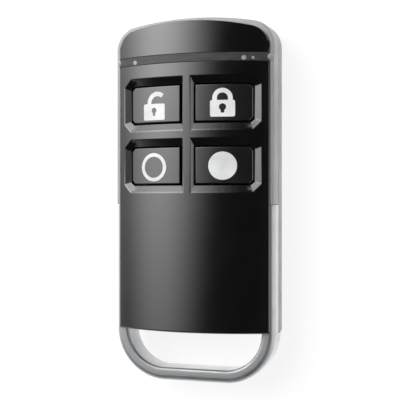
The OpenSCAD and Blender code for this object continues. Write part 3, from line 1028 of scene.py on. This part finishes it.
@dataclass
class Case:
    """The silver side: satin frame and rear shell."""

    plan: Plan = Plan()
    seam: float = 4.4 * MM
    seam_edge: float = 0.28 * MM
    back_edge: float = 0.12 * MM
    near: float = 0.02 * MM
    length_share: float = 0.5
    away_share: float = 0.3
    band: Section = Section(2.6 * MM, 0.5 * MM, 0.5 * MM, seam_edge)
    band_end: float = -0.85 * MM
    frame_finish: Metal = Metal("satin_silver", (0.356, 0.361, 0.371), roughness=0.48, metallic=0.25)
    rear_finish: Metal = Metal("rear_silver", (0.34, 0.345, 0.355), roughness=0.5, metallic=0.25)

    def build(self) -> None:
        """Makes and dresses the pieces of the side."""
        silver = self.frame_finish.material()
        low, high = (corner.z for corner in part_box("side_frame"))
        path = self.plan.path(self.band.width / 2, self.band_end)
        band = self.band.sweep("side_frame_band", [path], low, high, silver)
        dress(band, silver, Body.CASE, ["side_frame"])
        shell = EdgeRounding(self.rear_radius).copy("rear_shell", "rear_shell_back")
        dress(shell, self.rear_finish.material(), Body.CASE, ["rear_shell"])

    def rear_radius(self, edge: Edge) -> float:
        """How far an edge of the rear shell is rounded: only those of the back and outer seam are.

        Args:
            edge: The edge.

        Returns:
            The rounding's width.
        """
        start, end = (vert.co for vert in edge.verts)
        if max(start.z, end.z) < self.near:
            return self.back_edge
        middle = (start + end) / 2
        away = Vector((middle.x, middle.y * self.length_share, 0.0)).normalized()
        outside = any(face.normal.dot(away) > self.away_share for face in edge.link_faces)
        return self.seam_edge if outside and min(start.z, end.z) > self.seam - self.near else 0.0


@dataclass
class KeyLoop:
    """The bright U-shaped loop, with its arms along the sides of the case and its two screw lugs."""

    bar: Section = Section(2.6 * MM, 1.2 * MM, 0.6 * MM, 1.0 * MM)
    bar_low: float = 1.8 * MM
    arm: Section = Section(2.6 * MM, 1.2 * MM, 0.6 * MM, 0.12 * MM)
    arm_low: float = 4.4 * MM
    arm_end: float = -0.95 * MM
    end: float = -35.75 * MM
    corner: float = 10.05 * MM
    corner_steps: int = 40
    lug_half: float = 2.6 * MM
    lug_hole: float = 1.05 * MM
    lug_thickness: float = 1.2 * MM
    lug_steps: int = 24
    finish: Metal = Metal("bright_loop", (0.34, 0.345, 0.353), roughness=0.55, coat=1.0)

    def build(self) -> None:
        """Makes and dresses the loop's bar, arms and lugs."""
        bright = self.finish.material()
        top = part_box("key_loop")[1].z
        middle = HALF_WIDTH - self.arm.width / 2
        bend = self.end + self.corner
        turn, across = self.corner - self.bar.width / 2, HALF_WIDTH - self.corner
        steps = self.corner_steps
        bar = arc((across, bend), turn, 0, -90, steps) + arc((-across, bend), turn, -90, -180, steps)
        arms = [[(middle, self.arm_end), (middle, bend)], [(-middle, bend), (-middle, self.arm_end)]]
        outlines = [outline for side in SIDES for outline in self.lug_outlines(side, side * middle)]
        for piece in (
            self.bar.sweep("key_loop_bar", [bar], self.bar_low, top, bright),
            self.arm.sweep("key_loop_arms", arms, self.arm_low, top, bright),
            self.lug_recipe().make(
                draw_lines("key_loop_lugs", outlines), Thickness=self.lug_thickness, Height=self.arm_low,
                Material=bright,
            ),
        ):
            dress(piece, bright, Body.CASE, ["key_loop"])

    def lug_recipe(self) -> NodeRecipe:
        """Makes the tree that fills the lugs' outlines and raises them to their height.

        Returns:
            The tree.
        """
        recipe = NodeRecipe("screw_lugs")
        thickness, height = recipe.named_inputs("Thickness", "Height")
        plate, rise = recipe.plate(thickness), recipe.vector(Z=height)
        return recipe.finish(recipe.add("GeometryNodeSetPosition", Geometry=plate, Offset=rise))

    def lug_outlines(self, side: int, root: float) -> list[Outline]:
        """Outline and hole of a screw lug.

        Args:
            side: Side of the fob, -1 or 1.
            root: Place across the fob where the lug ends inside the arm.

        Returns:
            The two outlines.
        """
        x, y = side * SCREW_PLACE[0], SCREW_PLACE[1]
        round_end = arc((x, y), self.lug_half, 90, 90 + side * 180, self.lug_steps)
        return [
            round_end + [(root, y - self.lug_half), (root, y + self.lug_half)],
            circle((x, y), self.lug_hole, self.lug_steps),
        ]


def join_rings(work: bmesh.types.BMesh, one: Ring, other: Ring) -> None:
    """Joins two rings of as many points by a wall of faces."""
    for corners in zip(one, other, other[1:] + other[:1], one[1:] + one[:1]):
        work.faces.new(corners)


@dataclass
class CaseScrews:
    """The two cross-slot screws in the back."""

    head_out: float = 1.9 * MM
    head_low: float = 0.5 * MM
    head_high: float = 1.8 * MM
    head_edge: float = 0.18 * MM
    edge_steps: int = 4
    shank_out: float = 1.0 * MM
    shank_high: float = 8.6 * MM
    tip_out: float = 0.6 * MM
    tip_long: float = 0.4 * MM
    slot_long: float = 1.1 * MM
    slot_half: float = 0.25 * MM
    slot_deep: float = 0.65 * MM
    slot_taper: float = 0.72
    sides: int = 48
    finish: Metal = Metal("steel", (0.6, 0.6, 0.62), roughness=0.25, stretch=(1.0, 8.0, 1.0))

    def build(self) -> None:
        """Makes and dresses the screws."""
        steel = self.finish.material()
        piece = self.recipe().make(self.one_screw(), Material=steel)
        dress(piece, steel, Body.CASE, ["case_screws"])

    def one_screw(self) -> Piece:
        """Makes the mesh of one screw on the Z axis, head down.

        Returns:
            The new object.
        """
        edge = self.head_edge
        profile = [
            (self.tip_out, self.shank_high), (self.shank_out, self.shank_high - self.tip_long),
            (self.shank_out, self.head_high), (self.head_out, self.head_high),
            *arc((self.head_out - edge, self.head_low + edge), edge, 0, -90, self.edge_steps),
        ]
        work = bmesh.new()
        rings = [
            [work.verts.new((x, y, height)) for x, y in circle((0.0, 0.0), radius, self.sides)]
            for radius, height in profile
        ]
        work.faces.new(rings[0])
        for upper, lower in zip(rings, rings[1:]):
            join_rings(work, upper, lower)
        self.cut_slots(work, rings[-1])
        bmesh.ops.recalc_face_normals(work, faces=work.faces)
        mesh = bpy.data.meshes.new("case_screw_pair")
        work.to_mesh(mesh)
        work.free()
        return add_object("case_screw_pair", mesh)

    def cut_slots(self, work: bmesh.types.BMesh, rim: Ring) -> None:
        """Closes the head with a cross of tapered slots.

        Args:
            work: The screw's mesh.
            rim: The ring of points round the flat of the head.
        """
        far, half = self.slot_long, self.slot_half
        cross: Outline = []
        arm = [(far, -half), (far, half), (half, half)]
        for _ in range(4):
            cross += arm
            arm = [(-y, x) for x, y in arm]
        top = [work.verts.new((x, y, self.head_low)) for x, y in cross]
        deep = self.head_low + self.slot_deep
        foot = [work.verts.new((x * self.slot_taper, y * self.slot_taper, deep)) for x, y in cross]
        flat = rim + top
        for corners in tessellate_polygon([[vert.co for vert in rim], [vert.co for vert in top]]):
            work.faces.new([flat[corner] for corner in corners])
        join_rings(work, top, foot)
        work.faces.new(foot)

    def recipe(self) -> NodeRecipe:
        """Makes the tree that sets the screw at both places.

        Returns:
            The tree.
        """
        recipe = NodeRecipe("case_screws")
        x, y = SCREW_PLACE
        line = recipe.add(
            "GeometryNodeMeshLine", Count=2, Start_Location=(-x, y, 0.0), Offset=(2 * x, 0.0, 0.0)
        )
        return recipe.finish(recipe.add(
            "GeometryNodeInstanceOnPoints", Points=line, Instance=recipe.geometry
        ))


@dataclass
class Electronics:
    """Finishes of the solids inside the case, which keep their imported shapes."""

    board: PrintedBoard = PrintedBoard("board", (0.03, 0.16, 0.08), (0.07, 0.28, 0.14))
    steel: Metal = Metal("pressed_steel", (0.6, 0.6, 0.62), roughness=0.3, stretch=(8.0, 1.0, 1.0))
    can: Metal = Metal("cell_can", (0.68, 0.68, 0.68), roughness=0.22, grain=0.15 * MM)
    brass: Metal = Metal("contact_brass", (0.72, 0.5, 0.3), roughness=0.3, stretch=(1.0, 6.0, 1.0))
    moulding: Finish = Finish("dark_moulding", (0.05, 0.05, 0.052), roughness=0.55)
    ceramic: Finish = Finish("ceramic", (0.62, 0.5, 0.36), roughness=0.45, grain=0.05 * MM)
    lamp: Finish = Finish("lamp_white", (0.9, 0.9, 0.88), roughness=0.2, grain=0.2 * MM)
    keys: tuple[str, ...] = ("unlock", "lock", "ring", "disc")

    def build(self) -> None:
        """Gives each inner solid its material."""
        plates = [f"switch_plate_{key}" for key in self.keys]
        bases = [f"{part}_{key}" for part in ("switch_base", "plunger") for key in self.keys]
        for finish, nodes in (
            (self.board, ["circuit_board"]),
            (self.steel, ["battery_clip", "crystal", *plates]),
            (self.can, ["coin_cell"]),
            (self.brass, ["cell_contact", "antenna"]),
            (self.moulding, ["microcontroller", *bases]),
            (self.ceramic, ["passives"]),
            (self.lamp, ["status_led_left", "status_led_right"]),
        ):
            material = finish.material()
            for node in nodes:
                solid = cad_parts[node]
                solid.data.materials.clear()
                solid.data.materials.append(material)
            LOG.info("%s: %s", finish.name, ", ".join(nodes))


@dataclass(frozen=True)
class Glow:
    """A soft box in the studio's surroundings, by the direction that it lies in, seen from the fob."""

    across: float
    along: float
    half_across: float
    half_along: float
    radiance: float

    def add_to(self, tree: NodeTree, direction: Node) -> Node:
        """Adds the soft box to the surroundings.

        Args:
            tree: Node tree of the surroundings.
            direction: The node that gives the direction that is looked in.

        Returns:
            The node that gives the soft box's brightness in that direction.
        """
        turn = Matrix.Rotation(self.across, 3, "Y") @ Matrix.Rotation(-self.along, 3, "X")
        place = tree.add(
            "ShaderNodeMapping", vector_type="TEXTURE", Vector=direction, Rotation=turn.to_euler(),
            Location=turn @ Vector((0.0, 0.0, 1.0)),
            Scale=(2 * self.half_across, 2 * self.half_along, 1.0),
        )
        blob = tree.add("ShaderNodeTexGradient", gradient_type="SPHERICAL", Vector=place).outputs["Fac"]
        return tree.add(
            "ShaderNodeMapRange", interpolation_type="SMOOTHSTEP", Value=blob, To_Max=self.radiance
        )


@dataclass
class Studio:
    """Floor, soft light from all round, and camera."""

    lens: float = 87.58
    sensor: float = 36.0
    eye: Vector = field(default_factory=lambda: Vector((0.06207, -0.000017, 0.18830)))
    tilt: float = math.radians(18.594)
    nearest: float = 10.0 * MM
    floor_half: float = 3.0
    floor_drop: float = 0.02 * MM
    floor_white: float = 0.2
    floor_glow: float = 0.85
    floor_shine: float = 1.4
    zenith: float = 0.025
    horizon_low: float = math.radians(2)
    horizon_high: float = math.radians(24)
    glows: tuple[Glow, ...] = (
        Glow(math.radians(-41), math.radians(28), 0.41, 0.43, 5.9),
        Glow(math.radians(72), 0.0, 0.24, 0.6, 2.1),
    )

    def build(self) -> None:
        """Makes the studio."""
        self.camera()
        self.floor()
        self.surroundings()
        bpy.context.scene.view_settings.view_transform = "Standard"
        LOG.info("studio: camera, floor and %d soft boxes", len(self.glows))

    def camera(self) -> None:
        """Places the camera at the photograph's viewing angle."""
        data = bpy.data.cameras.new("camera")
        data.lens = self.lens
        data.sensor_width = self.sensor
        data.clip_start = self.nearest
        camera = bpy.data.objects.new("camera", data)
        camera.matrix_world = Matrix.Translation(self.eye) @ Matrix.Rotation(self.tilt, 4, "Y")
        bpy.context.scene.collection.objects.link(camera)
        bpy.context.scene.camera = camera

    def floor(self) -> None:
        """Makes the plain white floor just under the flat back."""
        half, low = self.floor_half, -self.floor_drop
        corners = [(-half, -half, low), (half, -half, low), (half, half, low), (-half, half, low)]
        mesh = bpy.data.meshes.new("floor")
        mesh.from_pydata(corners, [], [(0, 1, 2, 3)])
        tree = ShaderTree("floor")
        path = tree.add("ShaderNodeLightPath").outputs
        seen = tree.work_out("MULTIPLY", path["Is Camera Ray"], self.floor_glow)
        shine = tree.work_out("MULTIPLY_ADD", path["Is Glossy Ray"], self.floor_shine, seen)
        tree.surface(
            Base_Color=(*(self.floor_white,) * 3, 1.0), Roughness=1.0, Specular_IOR_Level=0.0,
            Emission_Color=WHITE, Emission_Strength=shine,
        )
        mesh.materials.append(tree.material)
        add_object("floor", mesh)

    def surroundings(self) -> None:
        """Makes the soft light that comes from all round."""
        world = bpy.data.worlds.new("studio")
        world.use_nodes = True
        tree = NodeTree(world.node_tree)
        direction = tree.add("ShaderNodeTexCoord")
        height = tree.add("ShaderNodeSeparateXYZ", Vector=direction).outputs["Z"]
        total = tree.add(
            "ShaderNodeMapRange", interpolation_type="SMOOTHSTEP", Value=height,
            From_Min=math.sin(self.horizon_low), From_Max=math.sin(self.horizon_high), To_Min=1.0,
            To_Max=self.zenith,
        )
        for glow in self.glows:
            total = tree.work_out("ADD", total, glow.add_to(tree, direction))
        tree.feed(world.node_tree.nodes["Background"], Color=WHITE, Strength=total)
        bpy.context.scene.world = world


def main() -> None:
    """Builds the fob's looks and the studio round it."""
    logging.basicConfig(level=logging.INFO, format="%(message)s")
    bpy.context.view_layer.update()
    for assembly in (
        FrontCover(), KeyPad(), LightStrip(), Case(), KeyLoop(), CaseScrews(), Electronics(), Studio(),
    ):
        assembly.build()


if __name__ == "__main__":
    main()
